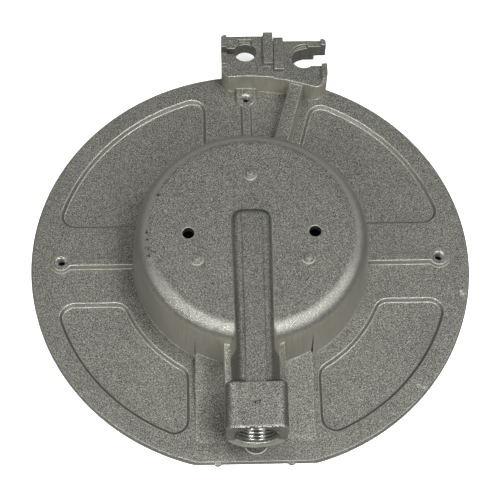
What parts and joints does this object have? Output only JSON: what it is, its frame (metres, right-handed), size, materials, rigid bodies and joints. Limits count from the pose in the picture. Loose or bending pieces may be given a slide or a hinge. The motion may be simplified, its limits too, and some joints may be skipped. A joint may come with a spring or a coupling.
{
  "type": "triple crown burner base",
  "caption": "Cast aluminium base of a triple crown gas burner: round flange, injector cup, threaded gas inlet on a ridge, and an electrode bracket on the rim.",
  "frame": {"origin": "on the burner's axis, in the plane of the flange's hob-side face", "axes": "+Z from the hob-side face to the cup's closed end, which is underside up; +Y from the burner's axis to the electrode bracket; the gas inlet faces -Y"},
  "size_m": [0.128, 0.1368, 0.0237],
  "materials": {
    "cast_aluminium": "shot-blasted die casting, matt grey with a fine grain"
  },
  "bodies": {
    "root": {"burner_base": "cast_aluminium"}
  },
  "joints": []
}
